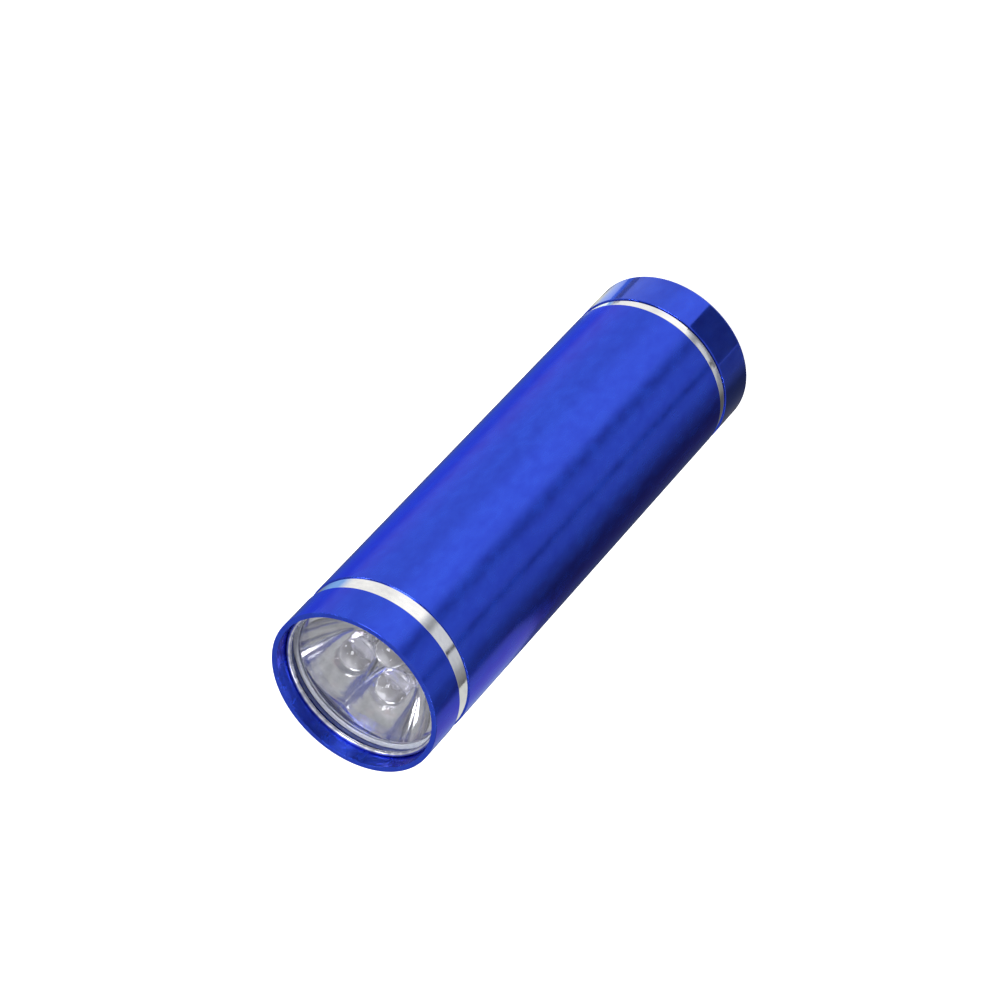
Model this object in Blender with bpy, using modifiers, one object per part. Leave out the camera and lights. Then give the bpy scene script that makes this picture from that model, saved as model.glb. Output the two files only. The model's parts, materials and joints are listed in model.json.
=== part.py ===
"""Pocket curing lamp: a turned aluminium tube with a screwed-on head and a screwed-on tail cap.

The lamp stands on its tail cap, with +Z along its axis towards the lens. The origin is the centre of the
tail face. The head holds the lens, a three-cup reflector and three 5 mm LEDs on a board. The tube holds a
cartridge of three AAA cells, and the tail cap holds the push switch. Heights are measured from the tail face.
"""

import math

import bmesh
import bpy

MM = 0.001

# Driving dimensions of the outside
BODY_RADIUS = 14.0 * MM
LENGTH = 95.0 * MM
TAIL_CAP_TOP = 7.25 * MM
REAR_RING_TOP = 9.03 * MM
FRONT_RING_BASE = 85.75 * MM
HEAD_BASE = 88.44 * MM
RING_RADIUS = 13.8 * MM
OPENING_RADIUS = 13.16 * MM

# Tube, and the neck, threaded spigot and seal groove that the head and the tail cap share
BORE_RADIUS = 12.0 * MM
SOCKET_RADIUS = 12.95 * MM
SOCKET_DEPTH = 7.6 * MM
NECK_RADIUS = 13.25 * MM
SPIGOT_RADIUS = 12.45 * MM
SPIGOT_LENGTH = 7.1 * MM
GROOVE_RADIUS = 11.85 * MM
GROOVE_OFFSET = 1.4 * MM
GROOVE_WIDTH = 1.2 * MM
SEAL_RADIUS = 12.4 * MM
SEAL_THICKNESS = 0.9 * MM

# Clearances and edges
SEAM = 0.15 * MM
FIT = 0.1 * MM
EDGE = 0.2 * MM
RIM_EDGE = 0.4 * MM

# Head: lens, gasket and reflector stack down from the front
LENS_TOP = LENGTH - 3.6 * MM
LENS_THICKNESS = 1.4 * MM
GASKET_THICKNESS = 0.3 * MM
STACK_RADIUS = 13.0 * MM
GASKET_INNER_RADIUS = 12.3 * MM
REFLECTOR_TOP = LENS_TOP - LENS_THICKNESS - GASKET_THICKNESS - 2 * FIT
FLANGE_THICKNESS = 0.4 * MM
LEDGE_HEIGHT = REFLECTOR_TOP - FLANGE_THICKNESS - FIT
LEDGE_INNER_RADIUS = 12.75 * MM
MODULE_BORE_RADIUS = 11.2 * MM
MODULE_RADIUS = 11.0 * MM
REFLECTOR_BASE = 81.9 * MM
CUP_RADIUS = 8.1 * MM
CUP_FOCAL_LENGTH = 2.05 * MM
CUP_HOLE_RADIUS = 2.65 * MM

# LEDs, their board and what is soldered to it
LED_COUNT = 3
LED_PITCH_RADIUS = 4.06 * MM
LED_FIRST_ANGLE = math.radians(30.0)
LED_RADIUS = 2.5 * MM
LED_FLANGE_RADIUS = 2.9 * MM
LED_FLANGE_HEIGHT = 1.0 * MM
LED_HEIGHT = 8.6 * MM
LED_BASE = 80.7 * MM
LEAD_SPACING = 2.54 * MM
LEAD_THICKNESS = 0.5 * MM
BOARD_TOP = LED_BASE - FIT
BOARD_THICKNESS = 1.2 * MM
BOARD_BASE = BOARD_TOP - BOARD_THICKNESS
LEAD_HOLE_RADIUS = 0.42 * MM
LEAD_END = BOARD_BASE - 1.0 * MM
BOARD_RING_INNER_RADIUS = 9.9 * MM
BOARD_RING_THICKNESS = 0.4 * MM

# Battery cartridge
CELL_COUNT = 3
CELL_RADIUS = 5.15 * MM
CELL_LENGTH = 44.5 * MM
CELL_PITCH_RADIUS = 6.2 * MM
CELL_FIRST_ANGLE = math.radians(90.0)
NUB_RADIUS = 1.9 * MM
NUB_HEIGHT = 0.9 * MM
PLATE_RADIUS = 11.5 * MM
PLATE_THICKNESS = 2.0 * MM
CAGE_BASE = 23.4 * MM
CAGE_TOP = 74.9 * MM
CONTACT_THICKNESS = 0.3 * MM
CONTACT_PAD_RADIUS = 3.8 * MM
STRAP_HALF_WIDTH = 1.3 * MM
STRAP_END_RADIUS = 1.5 * MM
RIVET_RADIUS = 1.2 * MM
RIVET_HOLE_RADIUS = 1.4 * MM
FRONT_HEAD_RADIUS = 3.0 * MM
FRONT_HEAD_REACH = 0.6 * MM
REAR_HEAD_RADIUS = 4.6 * MM
REAR_HEAD_REACH = 0.5 * MM
STRUT_INNER_RADIUS = 9.6 * MM
STRUT_HALF_ANGLE = math.radians(13.0)

# Tail switch
TAIL_BORE_RADIUS = 10.4 * MM
BUTTON_HOLE_RADIUS = 6.3 * MM
BOOT_FLANGE_BASE = 2.45 * MM
BOOT_FLANGE_TOP = 3.25 * MM
BOOT_FLANGE_RADIUS = 7.7 * MM
BOOT_SEAT_RADIUS = 7.9 * MM
BOOT_WALL_RADIUS = 5.95 * MM
BUTTON_TRAVEL = 1.2 * MM
HOUSING_RADIUS = 10.2 * MM
HOUSING_BASE = 3.55 * MM
HOUSING_TOP = 11.0 * MM
COVER_TOP = 12.3 * MM
MOVING_CONTACT_BASE = 7.0 * MM
MOVING_CONTACT_TOP = 7.4 * MM
TERMINAL_TOP = COVER_TOP + 0.6 * MM
SPANNER_SLOT_WIDTH = 2.0 * MM
SPANNER_SLOT_LENGTH = 24.0 * MM

ROUND_STEPS = 36
CUP_STEPS = 32
SWITCH_STEPS = 24
SMALL_STEPS = 20
RESISTOR_STEPS = 16
LEAD_HOLE_STEPS = 12
COIL_STEPS = 9

COLLECTION = "uv_curing_lamp"
CUTTER_COLLECTION = "cutters"


# Blender helpers


def clear_scene():
    for thing in list(bpy.data.objects):
        bpy.data.objects.remove(thing, do_unlink=True)


def collection_named(name):
    collection = bpy.data.collections.new(name)
    bpy.context.scene.collection.children.link(collection)
    return collection


def material(name, color, roughness, metallic=0.0, alpha=1.0):
    made = bpy.data.materials.new(name)
    made.use_nodes = True
    made.diffuse_color = (*color, alpha)
    shader = made.node_tree.nodes["Principled BSDF"]
    shader.inputs["Base Color"].default_value = (*color, 1.0)
    shader.inputs["Roughness"].default_value = roughness
    shader.inputs["Metallic"].default_value = metallic
    shader.inputs["Alpha"].default_value = alpha
    return made


def link(thing, finish=None, collection=COLLECTION):
    bpy.data.collections[collection].objects.link(thing)
    if finish is not None:
        thing.data.materials.append(finish)
    return thing


def turned(name, section, finish, steps=ROUND_STEPS, place=(0.0, 0.0, 0.0)):
    """A turned solid from (radius, height) points down its outer side, from axis to axis or round a loop."""
    mesh = bpy.data.meshes.new(name)
    edges = [(i, i + 1) for i in range(len(section) - 1)]
    if section[0][0] > 0.0:
        edges.append((len(section) - 1, 0))
    mesh.from_pydata([(radius, 0.0, height) for radius, height in section], edges, [])
    thing = link(bpy.data.objects.new(name, mesh), finish)
    thing.location = place
    screw = thing.modifiers.new("Turn", "SCREW")
    screw.steps = steps
    screw.render_steps = steps
    screw.use_merge_vertices = True
    screw.merge_threshold = 1e-6
    return thing


def plain_ring(inner, outer, base, top):
    """The section of a square-edged ring."""
    return [(outer, top), (outer, base), (inner, base), (inner, top)]


def pin(radius, base, top):
    """The section of a solid pin."""
    return [(0.0, top), (radius, top), (radius, base), (0.0, base)]


def wire(name, points, radius, finish):
    """A round wire along a polyline, with filled ends."""
    curve = bpy.data.curves.new(name, "CURVE")
    curve.dimensions = "3D"
    curve.bevel_depth = radius
    curve.bevel_resolution = 1
    curve.use_fill_caps = True
    spline = curve.splines.new("POLY")
    spline.points.add(len(points) - 1)
    for point, place in zip(spline.points, points):
        point.co = (*place, 1.0)
    return link(bpy.data.objects.new(name, curve), finish)


def coil(name, heights, radii, turns, wire_radius, finish, centre=(0.0, 0.0)):
    """A coil spring whose height and radius change evenly along its turns."""
    count = int(turns * COIL_STEPS)
    points = []
    for i in range(count + 1):
        share = i / count
        angle = 2.0 * math.pi * turns * share
        radius = radii[0] + (radii[1] - radii[0]) * share
        height = heights[0] + (heights[1] - heights[0]) * share
        points.append((centre[0] + radius * math.cos(angle), centre[1] + radius * math.sin(angle), height))
    return wire(name, points, wire_radius, finish)


def flat_outline(name, outline, thickness, finish):
    """A flat piece from a 2D outline, centred on its own plane."""
    curve = bpy.data.curves.new(name, "CURVE")
    curve.dimensions = "2D"
    curve.fill_mode = "BOTH"
    curve.extrude = thickness / 2.0
    spline = curve.splines.new("POLY")
    spline.points.add(len(outline) - 1)
    spline.use_cyclic_u = True
    for point, place in zip(spline.points, outline):
        point.co = (place[0], place[1], 0.0, 1.0)
    return link(bpy.data.objects.new(name, curve), finish)


def as_mesh(thing):
    """A mesh object in place of a curve object, so that it can be cut and joined."""
    bpy.context.view_layer.update()
    evaluated = thing.evaluated_get(bpy.context.evaluated_depsgraph_get())
    mesh = bpy.data.meshes.new_from_object(evaluated)
    shape = welded(mesh)
    name = thing.name
    place = thing.matrix_world.copy()
    finish = thing.data.materials[0] if thing.data.materials else None
    bpy.data.objects.remove(thing, do_unlink=True)
    shape.materials.clear()
    made = link(bpy.data.objects.new(name, shape), finish)
    made.matrix_world = place
    return made


def welded(mesh):
    """The mesh with its loose caps sewn on and its faces pointing out."""
    work = bmesh.new()
    work.from_mesh(mesh)
    bmesh.ops.remove_doubles(work, verts=work.verts, dist=1e-6)
    bmesh.ops.recalc_face_normals(work, faces=work.faces)
    work.to_mesh(mesh)
    work.free()
    return mesh


def combine(thing, other, operation):
    """Adds a Boolean with another object, which then only shows as a wire guide."""
    bpy.data.collections[COLLECTION].objects.unlink(other)
    bpy.data.collections[CUTTER_COLLECTION].objects.link(other)
    other.hide_render = True
    other.display_type = "WIRE"
    boolean = thing.modifiers.new(operation.title(), "BOOLEAN")
    boolean.operation = operation
    boolean.solver = "EXACT"
    boolean.object = other
    return thing


def cut(thing, cutter):
    return combine(thing, cutter, "DIFFERENCE")


def join(thing, other):
    return combine(thing, other, "UNION")


def around(angle, radius):
    """The point at an angle on a circle about the lamp's axis."""
    return radius * math.cos(angle), radius * math.sin(angle)


def led_angle(index):
    return LED_FIRST_ANGLE + index * 2.0 * math.pi / LED_COUNT


def cell_place(index):
    return around(CELL_FIRST_ANGLE + index * 2.0 * math.pi / CELL_COUNT, CELL_PITCH_RADIUS)


# The tube and what the head and the tail cap share


def barrel_tube(finish):
    base = REAR_RING_TOP
    top = FRONT_RING_BASE
    section = [
        (BODY_RADIUS - EDGE, top),
        (BODY_RADIUS, top - EDGE),
        (BODY_RADIUS, base + EDGE),
        (BODY_RADIUS - EDGE, base),
        (SOCKET_RADIUS, base),
        (SOCKET_RADIUS, base + SOCKET_DEPTH),
        (BORE_RADIUS, base + SOCKET_DEPTH),
        (BORE_RADIUS, top - SOCKET_DEPTH),
        (SOCKET_RADIUS, top - SOCKET_DEPTH),
        (SOCKET_RADIUS, top),
    ]
    return turned("barrel_tube", section, finish)


def trim_ring(name, base, top, finish):
    inner = NECK_RADIUS + FIT
    section = [
        (RING_RADIUS - FIT, top),
        (RING_RADIUS, top - FIT),
        (RING_RADIUS, base + FIT),
        (RING_RADIUS - FIT, base),
        (inner, base),
        (inner, top),
    ]
    return turned(name, section, finish)


def seal_ring(name, groove_base, finish):
    """A rubber ring in a spigot's groove."""
    middle = groove_base + GROOVE_WIDTH / 2.0
    corners = 6
    section = []
    for i in range(corners):
        angle = -2.0 * math.pi * i / corners
        reach = SEAL_THICKNESS / 2.0
        section.append((SEAL_RADIUS + reach * math.cos(angle), middle + reach * math.sin(angle)))
    return turned(name, section, finish)


# Head


def head_bezel(finish):
    neck_base = FRONT_RING_BASE + SEAM
    end = neck_base - SPIGOT_LENGTH
    groove_top = neck_base - GROOVE_OFFSET
    groove_base = groove_top - GROOVE_WIDTH
    section = [
        (OPENING_RADIUS + FIT, LENGTH),
        (BODY_RADIUS - EDGE, LENGTH),
        (BODY_RADIUS, LENGTH - EDGE),
        (BODY_RADIUS, HEAD_BASE + EDGE),
        (BODY_RADIUS - EDGE, HEAD_BASE),
        (NECK_RADIUS, HEAD_BASE),
        (NECK_RADIUS, neck_base),
        (SPIGOT_RADIUS, neck_base),
        (SPIGOT_RADIUS, groove_top),
        (GROOVE_RADIUS, groove_top),
        (GROOVE_RADIUS, groove_base),
        (SPIGOT_RADIUS, groove_base),
        (SPIGOT_RADIUS, end + EDGE),
        (SPIGOT_RADIUS - EDGE, end),
        (MODULE_BORE_RADIUS, end),
        (MODULE_BORE_RADIUS, FRONT_RING_BASE),
        (LEDGE_INNER_RADIUS, LEDGE_HEIGHT),
        (OPENING_RADIUS, LEDGE_HEIGHT),
        (OPENING_RADIUS, LENGTH - FIT),
    ]
    return turned("head_bezel", section, finish)


def front_lens(finish):
    base = LENS_TOP - LENS_THICKNESS
    section = [
        (0.0, LENS_TOP),
        (STACK_RADIUS - SEAM, LENS_TOP),
        (STACK_RADIUS, LENS_TOP - SEAM),
        (STACK_RADIUS, base),
        (0.0, base),
    ]
    return turned("front_lens", section, finish)


def lens_gasket(finish):
    top = LENS_TOP - LENS_THICKNESS - FIT
    section = plain_ring(GASKET_INNER_RADIUS, STACK_RADIUS, top - GASKET_THICKNESS, top)
    return turned("lens_gasket", section, finish)


def cup_height(radius):
    """The height of a parabolic cup's wall at a distance from the cup's own axis."""
    return REFLECTOR_TOP - (CUP_RADIUS**2 - radius**2) / (4.0 * CUP_FOCAL_LENGTH)


def reflector(finish):
    """The solid reflector body with three overlapping parabolic cups, one round each LED."""
    flange_base = REFLECTOR_TOP - FLANGE_THICKNESS
    section = [
        (0.0, REFLECTOR_TOP),
        (STACK_RADIUS, REFLECTOR_TOP),
        (STACK_RADIUS, flange_base),
        (LEDGE_INNER_RADIUS - EDGE, flange_base),
        (MODULE_RADIUS, FRONT_RING_BASE - SEAM),
        (MODULE_RADIUS, REFLECTOR_BASE),
        (0.0, REFLECTOR_BASE),
    ]
    body = turned("reflector", section, finish, CUP_STEPS)
    wall_points = 9
    widest = CUP_RADIUS + 2.0 * EDGE
    radii = [widest + (CUP_HOLE_RADIUS - widest) * i / (wall_points - 1) for i in range(wall_points)]
    cup = [(0.0, cup_height(widest))]
    cup += [(radius, cup_height(radius)) for radius in radii]
    cup += [(CUP_HOLE_RADIUS, REFLECTOR_BASE - EDGE), (0.0, REFLECTOR_BASE - EDGE)]
    for index in range(LED_COUNT):
        x, y = around(led_angle(index), LED_PITCH_RADIUS)
        cut(body, turned(f"reflector_cup_{index + 1}", cup, None, CUP_STEPS, (x, y, 0.0)))
    return body


def led_lens(index, finish):
    """The clear epoxy body of one LED, open below for its two leads."""
    dome_base = LED_BASE + LED_HEIGHT - LED_RADIUS
    flange_top = LED_BASE + LED_FLANGE_HEIGHT
    cavity_radius = 1.8 * MM
    cavity_top = LED_BASE + 4.2 * MM
    dome_points = 4
    section = []
    for i in range(dome_points + 1):
        angle = math.pi / 2.0 * (1.0 - i / dome_points)
        reach = LED_RADIUS * math.cos(angle) if i else 0.0
        section.append((reach, dome_base + LED_RADIUS * math.sin(angle)))
    section += [
        (LED_RADIUS, flange_top),
        (LED_FLANGE_RADIUS, flange_top),
        (LED_FLANGE_RADIUS, LED_BASE),
        (cavity_radius, LED_BASE),
        (cavity_radius, cavity_top),
        (0.0, cavity_top),
    ]
    x, y = around(led_angle(index), LED_PITCH_RADIUS)
    return turned(f"led_{index + 1}_lens", section, finish, SMALL_STEPS, (x, y, 0.0))


def led_lead(name, index, outline, finish):
    """One flat lead of an LED, standing in the plane through both of that LED's leads."""
    lead = flat_outline(name, outline, LEAD_THICKNESS, finish)
    x, y = around(led_angle(index), LED_PITCH_RADIUS)
    lead.location = (x, y, 0.0)
    lead.rotation_euler = (math.pi / 2.0, 0.0, led_angle(index) + math.pi / 2.0)
    return lead


def led_leads(index, finish):
    near = LEAD_SPACING / 2.0 - LEAD_THICKNESS / 2.0
    far = LEAD_SPACING / 2.0 + LEAD_THICKNESS / 2.0
    post_top = LED_BASE + 3.7 * MM
    anvil_base = LED_BASE + 1.3 * MM
    slot_right = 0.55 * MM
    slot_left = 0.2 * MM
    slope = 1.2 * MM
    anode = [
        (near, LEAD_END),
        (far, LEAD_END),
        (far, post_top),
        (slot_right, post_top),
        (slot_right, post_top - LEAD_THICKNESS),
        (near, post_top - slope),
    ]
    cathode = [
        (-far, LEAD_END),
        (-near, LEAD_END),
        (-near, anvil_base),
        (slot_left, anvil_base + slope),
        (slot_left, post_top),
        (-far, post_top),
    ]
    led_lead(f"led_{index + 1}_anode", index, anode, finish)
    led_lead(f"led_{index + 1}_cathode", index, cathode, finish)


def led_board(finish):
    board = turned("led_board", pin(MODULE_RADIUS, BOARD_BASE, BOARD_TOP), finish)
    for index in range(LED_COUNT):
        x, y = around(led_angle(index), LED_PITCH_RADIUS)
        along = led_angle(index) + math.pi / 2.0
        for side in (-1.0, 1.0):
            reach = side * LEAD_SPACING / 2.0
            place = (x + reach * math.cos(along), y + reach * math.sin(along), 0.0)
            hole = pin(LEAD_HOLE_RADIUS, BOARD_BASE - MM, BOARD_TOP + MM)
            cut(board, turned(f"lead_hole_{index + 1}_{side:+.0f}", hole, None, LEAD_HOLE_STEPS, place))
    return board


def board_ring(finish):
    top = BOARD_BASE - FIT
    section = plain_ring(BOARD_RING_INNER_RADIUS, MODULE_RADIUS, top - BOARD_RING_THICKNESS, top)
    return turned("board_retaining_ring", section, finish)


def current_resistor(finish):
    """A small axial resistor under the board, with both leads bent up to it."""
    reach = 4.4 * MM
    offset = -7.4 * MM
    height = BOARD_BASE - 1.6 * MM
    leads = [
        (-reach, offset, BOARD_BASE - FIT),
        (-reach, offset, height),
        (reach, offset, height),
        (reach, offset, BOARD_BASE - FIT),
    ]
    half_body = 2.6 * MM
    bead_end = 1.6 * MM
    waist_end = 1.2 * MM
    bead = 1.15 * MM
    waist = 0.95 * MM
    lead_radius = 0.25 * MM
    body = [
        (0.0, half_body),
        (bead, half_body),
        (bead, bead_end),
        (waist, waist_end),
        (waist, -waist_end),
        (bead, -bead_end),
        (bead, -half_body),
        (0.0, -half_body),
    ]
    resistor = turned("current_resistor", body, finish, RESISTOR_STEPS, (0.0, offset, height))
    resistor.rotation_euler = (0.0, math.pi / 2.0, 0.0)
    return join(resistor, as_mesh(wire("resistor_leads", leads, lead_radius, None)))


def board_spring(finish):
    """The conical spring that carries the cartridge's nub to the board."""
    wire_radius = 0.3 * MM
    top = BOARD_BASE - FIT - wire_radius
    base = CAGE_TOP + FRONT_HEAD_REACH + FIT + wire_radius
    radii = (2.7 * MM, 1.5 * MM)
    turns = 3.0
    return coil("board_contact_spring", (top, base), radii, turns, wire_radius, finish)


# Battery cartridge


def sector_outline(inner, outer, middle, half_angle, steps=4):
    """A piece of a flat ring, as an outline."""
    turns = [middle - half_angle + 2.0 * half_angle * i / steps for i in range(steps + 1)]
    return [around(turn, outer) for turn in turns] + [around(turn, inner) for turn in reversed(turns)]


def strap_outline(start, end, start_radius, end_radius, steps=10):
    """A narrow strap with a round pad at each end, as an outline."""
    heading = math.atan2(end[1] - start[1], end[0] - start[0])
    points = []
    for centre, facing, radius in ((end, heading, end_radius), (start, heading + math.pi, start_radius)):
        reach = math.pi - math.asin(STRAP_HALF_WIDTH / radius)
        for i in range(steps + 1):
            angle = facing + reach * (2.0 * i / steps - 1.0)
            points.append((centre[0] + radius * math.cos(angle), centre[1] + radius * math.sin(angle)))
    return points


def battery_cage(finish):
    """Two end plates joined by three struts that stand between the cells."""
    rear_section = plain_ring(RIVET_HOLE_RADIUS, PLATE_RADIUS, CAGE_BASE, CAGE_BASE + PLATE_THICKNESS)
    front_section = plain_ring(RIVET_HOLE_RADIUS, PLATE_RADIUS, CAGE_TOP - PLATE_THICKNESS, CAGE_TOP)
    rear = turned("battery_cage", rear_section, finish)
    join(rear, turned("cage_front_plate", front_section, None))
    bite = PLATE_THICKNESS / 2.0
    strut_length = CAGE_TOP - CAGE_BASE - 2.0 * PLATE_THICKNESS + 2.0 * bite
    for index in range(CELL_COUNT):
        middle = CELL_FIRST_ANGLE + (2 * index + 1) * math.pi / CELL_COUNT
        outline = sector_outline(STRUT_INNER_RADIUS, PLATE_RADIUS - EDGE, middle, STRUT_HALF_ANGLE)
        strut = flat_outline(f"cage_strut_{index + 1}", outline, strut_length, None)
        strut.location = (0.0, 0.0, (CAGE_BASE + CAGE_TOP) / 2.0)
        join(rear, as_mesh(strut))
    return rear


def cell_span(index):
    """The lowest and highest point of a cell. The middle cell of the series stands nub down."""
    rear_contact = CAGE_BASE + PLATE_THICKNESS + FIT + CONTACT_THICKNESS
    front_contact = CAGE_TOP - PLATE_THICKNESS - FIT - CONTACT_THICKNESS
    if index == 1:
        return rear_contact + FIT, rear_contact + FIT + CELL_LENGTH
    return front_contact - FIT - CELL_LENGTH, front_contact - FIT


def cell(index, finish):
    shoulder = 0.5 * MM
    section = [
        (0.0, CELL_LENGTH),
        (NUB_RADIUS, CELL_LENGTH),
        (NUB_RADIUS, CELL_LENGTH - NUB_HEIGHT),
        (CELL_RADIUS - shoulder, CELL_LENGTH - NUB_HEIGHT),
        (CELL_RADIUS, CELL_LENGTH - NUB_HEIGHT - shoulder),
        (CELL_RADIUS, shoulder),
        (CELL_RADIUS - shoulder, 0.0),
        (0.0, 0.0),
    ]
    x, y = cell_place(index)
    base, top = cell_span(index)
    made = turned(f"cell_{index + 1}", section, finish, SMALL_STEPS, (x, y, base))
    if index == 1:
        made.rotation_euler = (math.pi, 0.0, 0.0)
        made.location = (x, y, top)
    return made


def cell_spring(index, finish):
    """The flat conical spring against a cell's negative end."""
    wire_radius = 0.25 * MM
    base, top = cell_span(index)
    gap = FIT + wire_radius
    if index == 1:
        plate = CAGE_TOP - PLATE_THICKNESS - FIT - CONTACT_THICKNESS
        heights = (plate - gap, top + gap)
    else:
        plate = CAGE_BASE + PLATE_THICKNESS + FIT + CONTACT_THICKNESS
        heights = (plate + gap, base - gap)
    name = f"cell_spring_{index + 1}"
    radii = (3.6 * MM, 2.0 * MM)
    turns = 1.8
    return coil(name, heights, radii, turns, wire_radius, finish, cell_place(index))


def link_strip(name, first, second, height, finish):
    """A brass strip that joins two neighbouring cells at one end of the cartridge."""
    outline = strap_outline(cell_place(first), cell_place(second), CONTACT_PAD_RADIUS, CONTACT_PAD_RADIUS)
    strip = flat_outline(name, outline, CONTACT_THICKNESS, finish)
    strip.location = (0.0, 0.0, height)
    return strip


def terminal(name, index, strip_height, head_span, head_radius, finish):
    """A brass strip from one cell to the axis, with a rivet through the end plate to a flat outer head."""
    outline = strap_outline((0.0, 0.0), cell_place(index), STRAP_END_RADIUS, CONTACT_PAD_RADIUS)
    strip = flat_outline(name, outline, CONTACT_THICKNESS, finish)
    strip.location = (0.0, 0.0, strip_height)
    made = as_mesh(strip)
    low, high = sorted((strip_height, sum(head_span) / 2.0))
    join(made, turned(f"{name}_rivet", pin(RIVET_RADIUS, low, high), None, SMALL_STEPS))
    return join(made, turned(f"{name}_head", pin(head_radius, *head_span), None, SMALL_STEPS))


def cartridge(finishes):
    battery_cage(finishes["black_plastic"])
    for index in range(CELL_COUNT):
        cell(index, finishes["cell"])
        cell_spring(index, finishes["spring_steel"])
    rear_strip = CAGE_BASE + PLATE_THICKNESS + FIT + CONTACT_THICKNESS / 2.0
    front_strip = CAGE_TOP - PLATE_THICKNESS - FIT - CONTACT_THICKNESS / 2.0
    link_strip("rear_link_strip", 0, 1, rear_strip, finishes["brass"])
    link_strip("front_link_strip", 1, 2, front_strip, finishes["brass"])
    front_head = (CAGE_TOP + FIT, CAGE_TOP + FRONT_HEAD_REACH)
    rear_head = (CAGE_BASE - REAR_HEAD_REACH, CAGE_BASE - FIT)
    terminal("front_terminal", 0, front_strip, front_head, FRONT_HEAD_RADIUS, finishes["brass"])
    terminal("rear_terminal", 2, rear_strip, rear_head, REAR_HEAD_RADIUS, finishes["brass"])


# Tail cap and push switch


def tail_cap(finish):
    neck_top = REAR_RING_TOP - SEAM
    end = neck_top + SPIGOT_LENGTH
    groove_base = neck_top + GROOVE_OFFSET
    groove_top = groove_base + GROOVE_WIDTH
    seat_base = BOOT_FLANGE_BASE - SEAM
    seat_top = BOOT_FLANGE_TOP + SEAM
    section = [
        (SPIGOT_RADIUS - EDGE, end),
        (SPIGOT_RADIUS, end - EDGE),
        (SPIGOT_RADIUS, groove_top),
        (GROOVE_RADIUS, groove_top),
        (GROOVE_RADIUS, groove_base),
        (SPIGOT_RADIUS, groove_base),
        (SPIGOT_RADIUS, neck_top),
        (NECK_RADIUS, neck_top),
        (NECK_RADIUS, TAIL_CAP_TOP),
        (BODY_RADIUS - EDGE, TAIL_CAP_TOP),
        (BODY_RADIUS, TAIL_CAP_TOP - EDGE),
        (BODY_RADIUS, RIM_EDGE),
        (BODY_RADIUS - RIM_EDGE, 0.0),
        (BUTTON_HOLE_RADIUS + RIM_EDGE, 0.0),
        (BUTTON_HOLE_RADIUS, RIM_EDGE),
        (BUTTON_HOLE_RADIUS, seat_base),
        (BOOT_SEAT_RADIUS, seat_base),
        (BOOT_SEAT_RADIUS, seat_top),
        (TAIL_BORE_RADIUS, seat_top),
        (TAIL_BORE_RADIUS, end),
    ]
    return turned("tail_cap", section, finish)


def button_boot(finish):
    """The rubber boot over the button: a shallow dome in the cap's hole and a flange clamped behind it."""
    hollow_radius = 4.9 * MM
    section = [
        (0.0, 1.5 * MM),
        (hollow_radius - 0.5 * MM, 1.9 * MM),
        (hollow_radius, 2.3 * MM),
        (hollow_radius, BOOT_FLANGE_TOP),
        (BOOT_FLANGE_RADIUS, BOOT_FLANGE_TOP),
        (BOOT_FLANGE_RADIUS, BOOT_FLANGE_BASE),
        (BOOT_WALL_RADIUS, BOOT_FLANGE_BASE),
        (BOOT_WALL_RADIUS, 1.5 * MM),
        (5.3 * MM, 0.95 * MM),
        (3.0 * MM, 0.68 * MM),
        (0.0, 0.6 * MM),
    ]
    return turned("button_boot", section, finish, SWITCH_STEPS)


def switch_housing(finish):
    chamber_radius = 5.0 * MM
    stem_bore_radius = 3.0 * MM
    chamber_base = 5.35 * MM
    section = [
        (HOUSING_RADIUS, HOUSING_TOP),
        (HOUSING_RADIUS, HOUSING_BASE),
        (stem_bore_radius, HOUSING_BASE),
        (stem_bore_radius, chamber_base),
        (chamber_radius, chamber_base),
        (chamber_radius, HOUSING_TOP),
    ]
    return turned("switch_housing", section, finish, SWITCH_STEPS)


def switch_plunger(finish):
    """The stem behind the boot, with a wide foot inside the housing."""
    foot_radius = 4.6 * MM
    foot_base = 5.5 * MM
    foot_top = MOVING_CONTACT_BASE - FIT
    stem_radius = 2.8 * MM
    stem_tip = 1.75 * MM
    section = [
        (0.0, foot_top),
        (foot_radius, foot_top),
        (foot_radius, foot_base),
        (stem_radius, foot_base),
        (stem_radius, stem_tip + EDGE),
        (stem_radius - 2.0 * EDGE, stem_tip),
        (0.0, stem_tip),
    ]
    return turned("switch_plunger", section, finish, SWITCH_STEPS)


def moving_contact(finish):
    section = pin(4.4 * MM, MOVING_CONTACT_BASE, MOVING_CONTACT_TOP)
    return turned("moving_contact", section, finish, SWITCH_STEPS)


def switch_cover(finish):
    section = plain_ring(1.7 * MM, HOUSING_RADIUS, HOUSING_TOP + FIT, COVER_TOP)
    return turned("switch_cover", section, finish, SWITCH_STEPS)


def switch_terminal(finish):
    """The fixed contact: a pin through the cover under a flat head, just past the moving contact's travel."""
    head_radius = 4.8 * MM
    pin_radius = 1.5 * MM
    pin_end = MOVING_CONTACT_TOP + BUTTON_TRAVEL + SEAM
    section = [
        (0.0, TERMINAL_TOP),
        (head_radius, TERMINAL_TOP),
        (head_radius, COVER_TOP + FIT),
        (pin_radius, COVER_TOP + FIT),
        (pin_radius, pin_end),
        (0.0, pin_end),
    ]
    return turned("switch_terminal", section, finish, SMALL_STEPS)


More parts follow.
